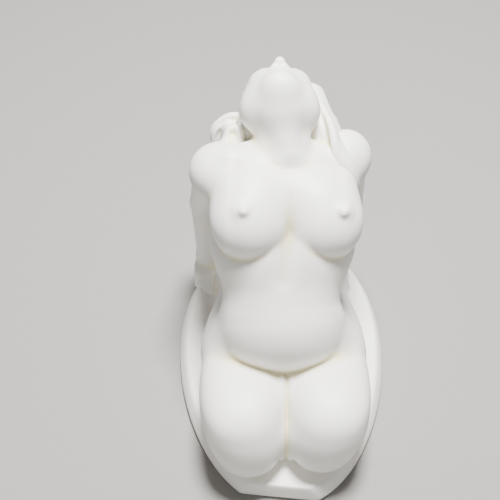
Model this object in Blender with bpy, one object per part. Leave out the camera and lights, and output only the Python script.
"""A small cast statuette: a nude figure kneeling back on its heels on an oval plinth, back arched,
head thrown back, arms reaching down behind to the plinth's rim.

The figure faces -Y, +Z is up, and the origin is the middle of the plinth's underside.
The cast is divided where a caster divides such a figure for its moulds: at the creases of the body.
"""
import math

import bmesh
import bpy
from mathutils import Vector

MM = 0.001

# Plinth
PLINTH_LENGTH = 80.0 * MM
PLINTH_WIDTH = 52.0 * MM
PLINTH_HEIGHT = 5.0 * MM
PLINTH_FLANK = 2.6 * MM         # how far the flank slopes in from the foot to the top edge
PLINTH_FOOT_CHAMFER = 0.6 * MM
PLINTH_WIDEST = 4.0 * MM        # how far behind the middle the egg-shaped outline is widest
PLINTH_FRONT_CUT = 2.2 * MM     # how much of the oval's front tip is cut off flat
PLINTH_FRONT_SLOPE = 0.35       # the cut face slopes this much as far as the flank does

# Joints between the masses
JOINT_GAP = 0.3 * MM

# Legs
KNEE_SPREAD = 9.6 * MM          # middle of a knee from the middle plane
KNEE_RADIUS = 8.3 * MM
THIGH_RADIUS = 10.2 * MM
HIP_RADIUS = 10.8 * MM
KNEE_INSET = 1.8 * MM           # front of the knees behind the front of the plinth
THIGH_LENGTH = 28.6 * MM
THIGH_RISE = 4.2 * MM           # the hip end lies higher than the knee end, on the calf
SHIN_LENGTH = 46.0 * MM
CALF_RADIUS = 6.6 * MM
ANKLE_RADIUS = 3.6 * MM
FOOT_LENGTH = 16.0 * MM
FOOT_HALF_WIDTH = 4.2 * MM

# Torso, heights measured from the top of the plinth
PELVIS_HALF_WIDTH = 17.3 * MM
PELVIS_HALF_DEPTH = 13.2 * MM
WAIST_HALF_WIDTH = 13.6 * MM
WAIST_HALF_DEPTH = 9.3 * MM
WAIST_HEIGHT = 30.0 * MM
CHEST_HALF_WIDTH = 16.0 * MM
CHEST_HALF_DEPTH = 9.3 * MM
CHEST_HEIGHT = 44.0 * MM
SHOULDER_HALF_WIDTH = 14.6 * MM
SHOULDERS_ASIDE = 1.8 * MM      # both shoulders lie this far to the figure's right of the middle plane
SHOULDERS_TURNED = 2.4 * MM     # the left shoulder lies this far behind the line, the right in front
SHOULDER_HEIGHT = 49.5 * MM
BREAST_RADIUS = 7.6 * MM
BREAST_SPREAD = 8.8 * MM

# How far the leaning body has come back, measured from the hips
BELLY_AHEAD = 3.0 * MM          # the belly hangs this far in front of the hips
CHEST_BACK = 12.0 * MM
SHOULDERS_BACK = 17.0 * MM
HEAD_BACK = 27.5 * MM
WRISTS_BACK = 28.0 * MM
HANDS_BACK = 30.0 * MM          # heels of the hands

# Head, neck and hair
NECK_RADIUS = 6.0 * MM
HEAD_HALF_WIDTH = 8.6 * MM
HEAD_HEIGHT = 22.5 * MM
HAIR_HALF_WIDTH = 14.0 * MM
HAIR_LENGTH = 26.0 * MM
HEAD_TILT = 128.0                # degrees thrown back from upright
HEAD_ASIDE = 1.5 * MM           # the head leans this far to the figure's right
HEAD_RISE = 8.5 * MM            # middle of the head above the shoulders

# Arms and hands
UPPER_ARM_RADIUS = 4.9 * MM
ELBOW_DROP = 23.0 * MM          # elbows below the shoulders
ELBOW_RADIUS = 3.9 * MM
WRIST_RADIUS = 2.5 * MM
HAND_LENGTH = 11.0 * MM
HAND_HALF_WIDTH = 3.5 * MM
HAND_THICKNESS = 3.2 * MM
RIGHT_HAND_INSET = 6.8 * MM     # middle of a hand in from the plinth's side
LEFT_HAND_INSET = 11.6 * MM

# Fineness of the lofts
RING_SIDES = 20
RINGS_PER_SPAN = 3
PLINTH_SIDES = 72
SLIVER = 0.01 * MM              # edges shorter than this are closed up after a cut

CAST_COLOUR = (0.86, 0.85, 0.82, 1.0)
CAST_ROUGHNESS = 0.45

KNEE_FRONT = -PLINTH_LENGTH / 2 + KNEE_INSET
KNEE_Y = KNEE_FRONT + KNEE_RADIUS
KNEE_Z = PLINTH_HEIGHT + KNEE_RADIUS
HIP_Y = KNEE_Y + THIGH_LENGTH
HIP_Z = KNEE_Z + THIGH_RISE
WAIST_Z = PLINTH_HEIGHT + WAIST_HEIGHT
CHEST_Z = PLINTH_HEIGHT + CHEST_HEIGHT
SHOULDER_Z = PLINTH_HEIGHT + SHOULDER_HEIGHT
HAND_X = {-1: RIGHT_HAND_INSET - PLINTH_WIDTH / 2, 1: PLINTH_WIDTH / 2 - LEFT_HAND_INSET}


def clear_scene():
    for old in list(bpy.data.objects):
        bpy.data.objects.remove(old, do_unlink=True)


def cast_material(name):
    material = bpy.data.materials.new(name + "_cast")
    material.use_nodes = True
    shader = material.node_tree.nodes["Principled BSDF"]
    shader.inputs["Base Color"].default_value = CAST_COLOUR
    shader.inputs["Roughness"].default_value = CAST_ROUGHNESS
    shader.inputs["Metallic"].default_value = 0.0
    return material


def between(before, start, end, after, t):
    """Catmull-Rom: a smooth value from start to end, steered by the two beyond them."""
    slope_in = (end - before) / 2
    slope_out = (after - start) / 2
    turn = 3 * (end - start) - 2 * slope_in - slope_out
    twist = 2 * (start - end) + slope_in + slope_out
    return start + slope_in * t + turn * t * t + twist * t ** 3


def smooth_sections(sections):
    """Put extra sections between the given (x, y, z, half_width, half_depth) ones, on a smooth curve."""
    rows = [Vector(section) for section in sections]
    fine = []
    for index in range(len(rows) - 1):
        before = rows[max(index - 1, 0)]
        after = rows[min(index + 2, len(rows) - 1)]
        for step in range(RINGS_PER_SPAN):
            fine.append(between(before, rows[index], rows[index + 1], after, step / RINGS_PER_SPAN))
    fine.append(rows[-1])
    return fine


def loft_mesh(name, sections, grow=0.0):
    """Skin elliptical rings set square to the line through their middles, with both ends closed."""
    fine = smooth_sections(sections)
    middles = [Vector(section[:3]) for section in fine]
    shape = bmesh.new()
    rings = []
    for index, section in enumerate(fine):
        ahead = middles[min(index + 1, len(fine) - 1)] - middles[max(index - 1, 0)]
        depth_way = ahead.cross(Vector((1, 0, 0))).normalized()
        width_way = depth_way.cross(ahead).normalized()
        half_width = section[3] + grow
        half_depth = section[4] + grow
        ring = []
        for side in range(RING_SIDES):
            turn = 2 * math.pi * side / RING_SIDES
            across = width_way * half_width * math.cos(turn)
            ring.append(shape.verts.new(middles[index] + across + depth_way * half_depth * math.sin(turn)))
        rings.append(ring)
    for ring, following in zip(rings, rings[1:]):
        for side in range(RING_SIDES):
            other = (side + 1) % RING_SIDES
            shape.faces.new((ring[side], ring[other], following[other], following[side]))
    for ring, beyond in ((rings[0], rings[1]), (rings[-1], rings[-2])):
        middle = sum((vert.co for vert in ring), Vector()) / RING_SIDES
        next_middle = sum((vert.co for vert in beyond), Vector()) / RING_SIDES
        outward = (middle - next_middle).normalized()
        size = (ring[0].co - middle).length
        tip = shape.verts.new(middle + outward * (size * 0.35 + grow))
        for side in range(RING_SIDES):
            shape.faces.new((ring[side], ring[(side + 1) % RING_SIDES], tip))
    bmesh.ops.recalc_face_normals(shape, faces=shape.faces)
    mesh = bpy.data.meshes.new(name)
    shape.to_mesh(mesh)
    shape.free()
    return mesh


def ball_mesh(name, middle, radii, grow=0.0, lean=0.0):
    """An ellipsoid, turned about X by lean degrees."""
    shape = bmesh.new()
    bmesh.ops.create_uvsphere(shape, u_segments=20, v_segments=12, radius=1.0)
    turn = math.radians(lean)
    for vert in shape.verts:
        x, y, z = (value * (radius + grow) for value, radius in zip(vert.co, radii))
        vert.co = Vector(middle) + Vector((x, y * math.cos(turn) - z * math.sin(turn),
                                           y * math.sin(turn) + z * math.cos(turn)))
    mesh = bpy.data.meshes.new(name)
    shape.to_mesh(mesh)
    shape.free()
    return mesh


def add_object(name, mesh):
    obj = bpy.data.objects.new(name, mesh)
    bpy.context.scene.collection.objects.link(obj)
    return obj


def apply_boolean(obj, mesh, operation):
    """Join or cut obj with a mesh, at once, and throw the tool away."""
    tool = add_object(obj.name + "_tool", mesh)
    tool.display_type = "WIRE"
    tool.hide_render = True
    modifier = obj.modifiers.new("fit", "BOOLEAN")
    modifier.operation = operation
    modifier.solver = "EXACT"
    modifier.object = tool
    bpy.context.view_layer.update()
    result = bpy.data.meshes.new_from_object(obj.evaluated_get(bpy.context.evaluated_depsgraph_get()))
    obj.modifiers.clear()
    shape = bmesh.new()
    shape.from_mesh(result)
    bmesh.ops.remove_doubles(shape, verts=shape.verts, dist=SLIVER)
    bmesh.ops.dissolve_degenerate(shape, edges=shape.edges, dist=SLIVER)
    shape.to_mesh(result)
    shape.free()
    obj.data = result
    bpy.data.objects.remove(tool, do_unlink=True)


def finish(obj):
    obj.data.materials.clear()
    obj.data.materials.append(cast_material(obj.name))
    obj.data.shade_smooth()
    obj.data.set_sharp_from_angle(angle=math.radians(40))
    return obj


def build(name, make, unions=(), cutters=()):
    """One sub-part: its own shape, what is joined to it, and its neighbours cut away with the gap."""
    obj = add_object(name, make(name, 0.0))
    for extra in unions:
        apply_boolean(obj, extra(name + "_extra", 0.0), "UNION")
    for cutter in cutters:
        apply_boolean(obj, cutter(name + "_cutter", JOINT_GAP), "DIFFERENCE")
    return finish(obj)


# Plinth ---------------------------------------------------------------------------------------

def plinth_ring(inset, height):
    """The egg-shaped outline, drawn in by inset, with its front tip cut off flat."""
    rear_reach = PLINTH_LENGTH / 2 - PLINTH_WIDEST - inset
    front_reach = PLINTH_LENGTH / 2 + PLINTH_WIDEST + PLINTH_FRONT_CUT - inset
    half_width = PLINTH_WIDTH / 2 - inset
    front = -(PLINTH_LENGTH / 2 - inset * PLINTH_FRONT_SLOPE)
    points = []
    for side in range(PLINTH_SIDES):
        turn = 2 * math.pi * side / PLINTH_SIDES
        reach = rear_reach if math.sin(turn) > 0 else front_reach
        y = PLINTH_WIDEST + reach * math.sin(turn)
        points.append(Vector((half_width * math.cos(turn), max(y, front), height)))
    return points


def plinth_mesh(name, grow):
    levels = (
        (PLINTH_FOOT_CHAMFER, 0.0),
        (0.0, PLINTH_FOOT_CHAMFER),
        (PLINTH_FLANK * 0.3, PLINTH_HEIGHT * 0.62),
        (PLINTH_FLANK * 0.7, PLINTH_HEIGHT * 0.9),
        (PLINTH_FLANK, PLINTH_HEIGHT + grow),
    )
    shape = bmesh.new()
    rings = [[shape.verts.new(point) for point in plinth_ring(inset, z)] for inset, z in levels]
    for ring, above in zip(rings, rings[1:]):
        for side in range(PLINTH_SIDES):
            other = (side + 1) % PLINTH_SIDES
            shape.faces.new((ring[side], ring[other], above[other], above[side]))
    shape.faces.new(list(reversed(rings[0])))
    shape.faces.new(rings[-1])
    bmesh.ops.recalc_face_normals(shape, faces=shape.faces)
    mesh = bpy.data.meshes.new(name)
    shape.to_mesh(mesh)
    shape.free()
    return mesh


def below_plinth_top(name, grow):
    """A block that fills everything under the plinth's top, for flat seats on it."""
    shape = bmesh.new()
    bmesh.ops.create_cube(shape, size=1.0)
    reach = 2 * PLINTH_LENGTH
    for vert in shape.verts:
        vert.co = Vector((vert.co.x * reach, vert.co.y * reach,
                          PLINTH_HEIGHT + grow if vert.co.z > 0 else -reach))
    mesh = bpy.data.meshes.new(name)
    shape.to_mesh(mesh)
    shape.free()
    return mesh


def beyond_middle(side):
    """A block that fills the other half of space, past the middle plane."""
    def make(name, grow):
        shape = bmesh.new()
        bmesh.ops.create_cube(shape, size=1.0)
        reach = 2 * PLINTH_LENGTH
        for vert in shape.verts:
            towards = vert.co.x * side > 0
            vert.co = Vector((side * (grow / 2 if towards else -reach), vert.co.y * reach, vert.co.z * reach))
        bmesh.ops.recalc_face_normals(shape, faces=shape.faces)
        mesh = bpy.data.meshes.new(name)
        shape.to_mesh(mesh)
        shape.free()
        return mesh
    return make


# Legs -----------------------------------------------------------------------------------------

def lower_leg(side):
    """Shin, calf and foot, lying along the plinth under the thigh, sole up."""
    def make(name, grow):
        x = side * KNEE_SPREAD
        ankle_y = KNEE_Y + SHIN_LENGTH
        return loft_mesh(name, (
            (x, KNEE_Y + 3 * MM, KNEE_Z - 3.6 * MM, CALF_RADIUS * 0.7, CALF_RADIUS * 0.6),
            (x, KNEE_Y + SHIN_LENGTH * 0.35, PLINTH_HEIGHT + CALF_RADIUS * 0.6, CALF_RADIUS, CALF_RADIUS),
            (x * 0.95, KNEE_Y + SHIN_LENGTH * 0.6, PLINTH_HEIGHT + CALF_RADIUS * 0.6,
             CALF_RADIUS * 0.9, CALF_RADIUS * 0.85),
            (x * 0.85, ankle_y, PLINTH_HEIGHT + ANKLE_RADIUS, ANKLE_RADIUS, ANKLE_RADIUS),
            (x * 0.75, ankle_y + FOOT_LENGTH * 0.45, PLINTH_HEIGHT + ANKLE_RADIUS * 0.8,
             FOOT_HALF_WIDTH, ANKLE_RADIUS * 0.85),
            (x * 0.65, ankle_y + FOOT_LENGTH * 0.9, PLINTH_HEIGHT + ANKLE_RADIUS * 0.4,
             FOOT_HALF_WIDTH * 0.85, ANKLE_RADIUS * 0.5),
        ), grow)
    return make


def thigh(side):
    """From the rounded knee to the hip, lying on the calf."""
    def make(name, grow):
        x = side * KNEE_SPREAD
        return loft_mesh(name, (
            (x, KNEE_Y - KNEE_RADIUS * 0.75, KNEE_Z - 0.6 * MM, KNEE_RADIUS * 0.5, KNEE_RADIUS * 0.5),
            (x, KNEE_Y, KNEE_Z, KNEE_RADIUS, KNEE_RADIUS),
            (x, KNEE_Y + THIGH_LENGTH * 0.4, (KNEE_Z + HIP_Z) / 2, THIGH_RADIUS, THIGH_RADIUS * 0.95),
            (x, HIP_Y, HIP_Z, HIP_RADIUS * 0.92, HIP_RADIUS),
            (x, HIP_Y + HIP_RADIUS * 0.7, HIP_Z, HIP_RADIUS * 0.7, HIP_RADIUS * 0.72),
        ), grow)
    return make


# Torso ----------------------------------------------------------------------------------------

def trunk(name, grow):
    """From the belly, which hangs over the thighs, leaning back through the waist to the shoulders."""
    shoulder_y = HIP_Y + SHOULDERS_BACK
    return loft_mesh(name, (
        (0, HIP_Y - 2.6 * MM, PLINTH_HEIGHT + 10 * MM, PELVIS_HALF_WIDTH * 0.7, PELVIS_HALF_DEPTH * 0.75),
        (0, HIP_Y - BELLY_AHEAD, PLINTH_HEIGHT + 20 * MM, PELVIS_HALF_WIDTH * 0.92, PELVIS_HALF_DEPTH * 0.92),
        (0, HIP_Y - 0.5 * MM, WAIST_Z, WAIST_HALF_WIDTH, WAIST_HALF_DEPTH),
        (0, HIP_Y + CHEST_BACK / 2, (WAIST_Z + CHEST_Z) / 2, WAIST_HALF_WIDTH, WAIST_HALF_DEPTH * 0.95),
        (0, HIP_Y + CHEST_BACK, CHEST_Z, CHEST_HALF_WIDTH, CHEST_HALF_DEPTH),
        (0, shoulder_y + 0.5 * MM, SHOULDER_Z, SHOULDER_HALF_WIDTH * 0.95, CHEST_HALF_DEPTH * 0.7),
        (0, shoulder_y + 4 * MM, SHOULDER_Z + 3 * MM, SHOULDER_HALF_WIDTH * 0.5, CHEST_HALF_DEPTH * 0.5),
    ), grow)


def seat_mass(name, grow):
    """The pelvis, sitting back between the thighs on the heels."""
    middle = (0, HIP_Y + 4 * MM, PLINTH_HEIGHT + PELVIS_HALF_DEPTH)
    return ball_mesh(name, middle, (PELVIS_HALF_WIDTH, PELVIS_HALF_DEPTH * 1.15, PELVIS_HALF_DEPTH), grow)


def buttock(side):
    def make(name, grow):
        radius = PELVIS_HALF_DEPTH * 0.8
        middle = (side * PELVIS_HALF_WIDTH * 0.42, HIP_Y + 9.5 * MM, PLINTH_HEIGHT + radius + 1.5 * MM)
        return ball_mesh(name, middle, (radius, radius, radius), grow)
    return make


def breast(side):
    def make(name, grow):
        middle = (side * BREAST_SPREAD, HIP_Y + 1.8 * MM, CHEST_Z + 4.6 * MM)
        return ball_mesh(name, middle, (BREAST_RADIUS, BREAST_RADIUS, BREAST_RADIUS), grow)
    return make


# Head and hair --------------------------------------------------------------------------------

def head_middle():
    return Vector((-HEAD_ASIDE, HIP_Y + HEAD_BACK, SHOULDER_Z + HEAD_RISE))


def along_head(towards_face, towards_crown):
    """A place in the head, which is thrown back by HEAD_TILT from upright."""
    turn = math.radians(HEAD_TILT)
    face = Vector((0, -math.cos(turn), math.sin(turn)))
    crown = Vector((0, math.sin(turn), math.cos(turn)))
    return head_middle() + face * towards_face + crown * towards_crown


def neck(name, grow):
    skull_base = along_head(HEAD_HALF_WIDTH * 0.05, -HEAD_HEIGHT * 0.22)
    shoulder_y = HIP_Y + SHOULDERS_BACK
    return loft_mesh(name, (
        (0, shoulder_y - 2 * MM, SHOULDER_Z, NECK_RADIUS, NECK_RADIUS * 0.9),
        (-HEAD_ASIDE / 2, shoulder_y + 3.5 * MM, SHOULDER_Z + 5 * MM, NECK_RADIUS, NECK_RADIUS * 0.85),
        (*skull_base, NECK_RADIUS * 0.9, NECK_RADIUS * 0.75),
    ), grow)


def skull(name, grow):
    radii = (HEAD_HALF_WIDTH, HEAD_HALF_WIDTH * 1.15, HEAD_HEIGHT * 0.42)
    return ball_mesh(name, along_head(0, HEAD_HEIGHT * 0.08), radii, grow, lean=-HEAD_TILT)


def jaw(name, grow):
    middle = along_head(HEAD_HALF_WIDTH * 0.45, -HEAD_HEIGHT * 0.24)
    radii = (HEAD_HALF_WIDTH * 0.78, HEAD_HALF_WIDTH * 0.72, HEAD_HEIGHT * 0.25)
    return ball_mesh(name, middle, radii, grow, lean=-HEAD_TILT)


def hair(name, grow):
    """The mass of hair round the back of the head, falling behind the shoulders."""
    x, y, z = along_head(-HEAD_HALF_WIDTH * 0.2, HEAD_HEIGHT * 0.25)
    return loft_mesh(name, (
        (x, y - 3 * MM, z + 6.5 * MM, HAIR_HALF_WIDTH * 0.6, 4 * MM),
        (x, y - 2 * MM, z + 1 * MM, HAIR_HALF_WIDTH * 0.95, 7 * MM),
        (x, y, z - HAIR_LENGTH * 0.3, HAIR_HALF_WIDTH, 6 * MM),
        (x, y, z - HAIR_LENGTH * 0.65, HAIR_HALF_WIDTH * 0.85, 4.6 * MM),
        (x, y - 0.5 * MM, z - HAIR_LENGTH, HAIR_HALF_WIDTH * 0.35, 2.2 * MM),
    ), grow)


# Arms -----------------------------------------------------------------------------------------

def arm(side):
    """Shoulder to wrist, reaching down and back to the hand on the rim."""
    def make(name, grow):
        x = side * SHOULDER_HALF_WIDTH - SHOULDERS_ASIDE
        y = HIP_Y + SHOULDERS_BACK + side * SHOULDERS_TURNED
        hand_x = HAND_X[side]
        wrist_y = HIP_Y + WRISTS_BACK
        wrist_z = PLINTH_HEIGHT + HAND_THICKNESS
        return loft_mesh(name, (
            (x * 0.94, y - 2 * MM, SHOULDER_Z + 4.2 * MM, UPPER_ARM_RADIUS * 0.6, UPPER_ARM_RADIUS * 0.7),
            (x, y, SHOULDER_Z, UPPER_ARM_RADIUS, UPPER_ARM_RADIUS * 1.1),
            ((x + hand_x) / 2, (y + wrist_y) / 2, SHOULDER_Z - ELBOW_DROP * 0.48, UPPER_ARM_RADIUS * 0.9,
             UPPER_ARM_RADIUS),
            (hand_x, wrist_y - 1 * MM, SHOULDER_Z - ELBOW_DROP, ELBOW_RADIUS, ELBOW_RADIUS),
            (hand_x, wrist_y, wrist_z + 13 * MM, ELBOW_RADIUS * 0.95, ELBOW_RADIUS * 0.95),
            (hand_x, wrist_y, wrist_z + 1.5 * MM, WRIST_RADIUS * 1.15, WRIST_RADIUS),
        ), grow)
    return make


def hand(side):
    """Flat on the plinth, fingers forward."""
    def make(name, grow):
        x = HAND_X[side]
        rear = HIP_Y + HANDS_BACK
        half_depth = HAND_THICKNESS / 2
        lie = PLINTH_HEIGHT + half_depth * 0.8
        return loft_mesh(name, (
            (x, rear, lie + 0.6 * MM, HAND_HALF_WIDTH * 0.55, half_depth),
            (x, rear - HAND_LENGTH * 0.35, lie, HAND_HALF_WIDTH, half_depth),
            (x, rear - HAND_LENGTH * 0.65, lie, HAND_HALF_WIDTH, half_depth * 0.85),
            (x * 1.01, rear - HAND_LENGTH * 0.93, lie - 0.3 * MM, HAND_HALF_WIDTH * 0.6, half_depth * 0.6),
        ), grow)
    return make


def main():
    clear_scene()
    finish(add_object("plinth", plinth_mesh("plinth", 0.0)))
    seat = below_plinth_top
    legs = [lower_leg(side) for side in (-1, 1)]
    thighs = [thigh(side) for side in (-1, 1)]
    arms = [arm(side) for side in (-1, 1)]
    torso_masses = [trunk, seat_mass, buttock(-1), buttock(1), breast(-1), breast(1)]
    head_masses = [neck, skull, jaw]
    for side, word in ((-1, "right"), (1, "left")):
        build(word + "_lower_leg", lower_leg(side), cutters=[seat, beyond_middle(side)])
        build(word + "_thigh", thigh(side), cutters=[seat, lower_leg(side), beyond_middle(side)])
    build("torso", trunk, torso_masses[1:], cutters=[seat] + legs + thighs)
    build("head", neck, head_masses[1:], cutters=[trunk])
    for side, word in ((-1, "right"), (1, "left")):
        build(word + "_arm", arm(side), cutters=torso_masses + [seat])
        build(word + "_hand", hand(side), cutters=[arm(side), seat, lower_leg(side)])
    build("hair", hair, cutters=[neck, skull, trunk] + arms)


main()
